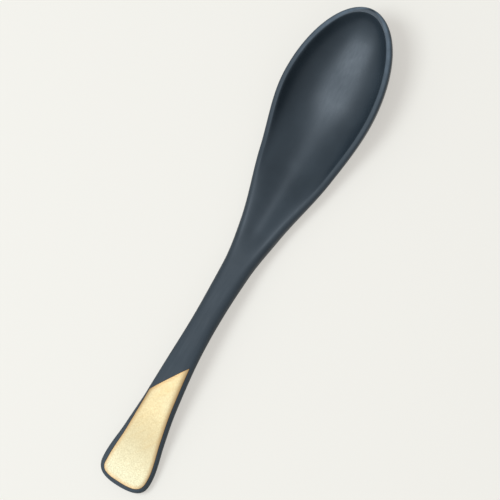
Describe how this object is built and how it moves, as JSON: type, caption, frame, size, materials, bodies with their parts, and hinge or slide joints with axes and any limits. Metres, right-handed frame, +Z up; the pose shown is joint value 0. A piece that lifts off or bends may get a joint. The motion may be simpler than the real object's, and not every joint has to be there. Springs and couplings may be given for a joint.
{
  "type": "lacquered wooden spoon",
  "caption": "Slim carved wooden spoon in satin black lacquer, with an oval bowl and a slanted gold leaf panel on its flared handle end.",
  "frame": {"origin": "on the table plane, under the middle of the spoon's box", "axes": "+Y from the handle's end to the bowl's tip, +Z up out of the bowl, +X across"},
  "size_m": [0.036, 0.18, 0.0134],
  "materials": {
    "pale_hardwood": "carved and sanded close-grained hardwood",
    "satin_black_lacquer": "brushed black lacquer rubbed to an even satin",
    "gold_leaf": "burnished pale gold leaf"
  },
  "bodies": {
    "root": {"carved_wood_core": "pale_hardwood", "black_lacquer_coat": "satin_black_lacquer", "gold_leaf_panel": "gold_leaf"}
  },
  "joints": []
}
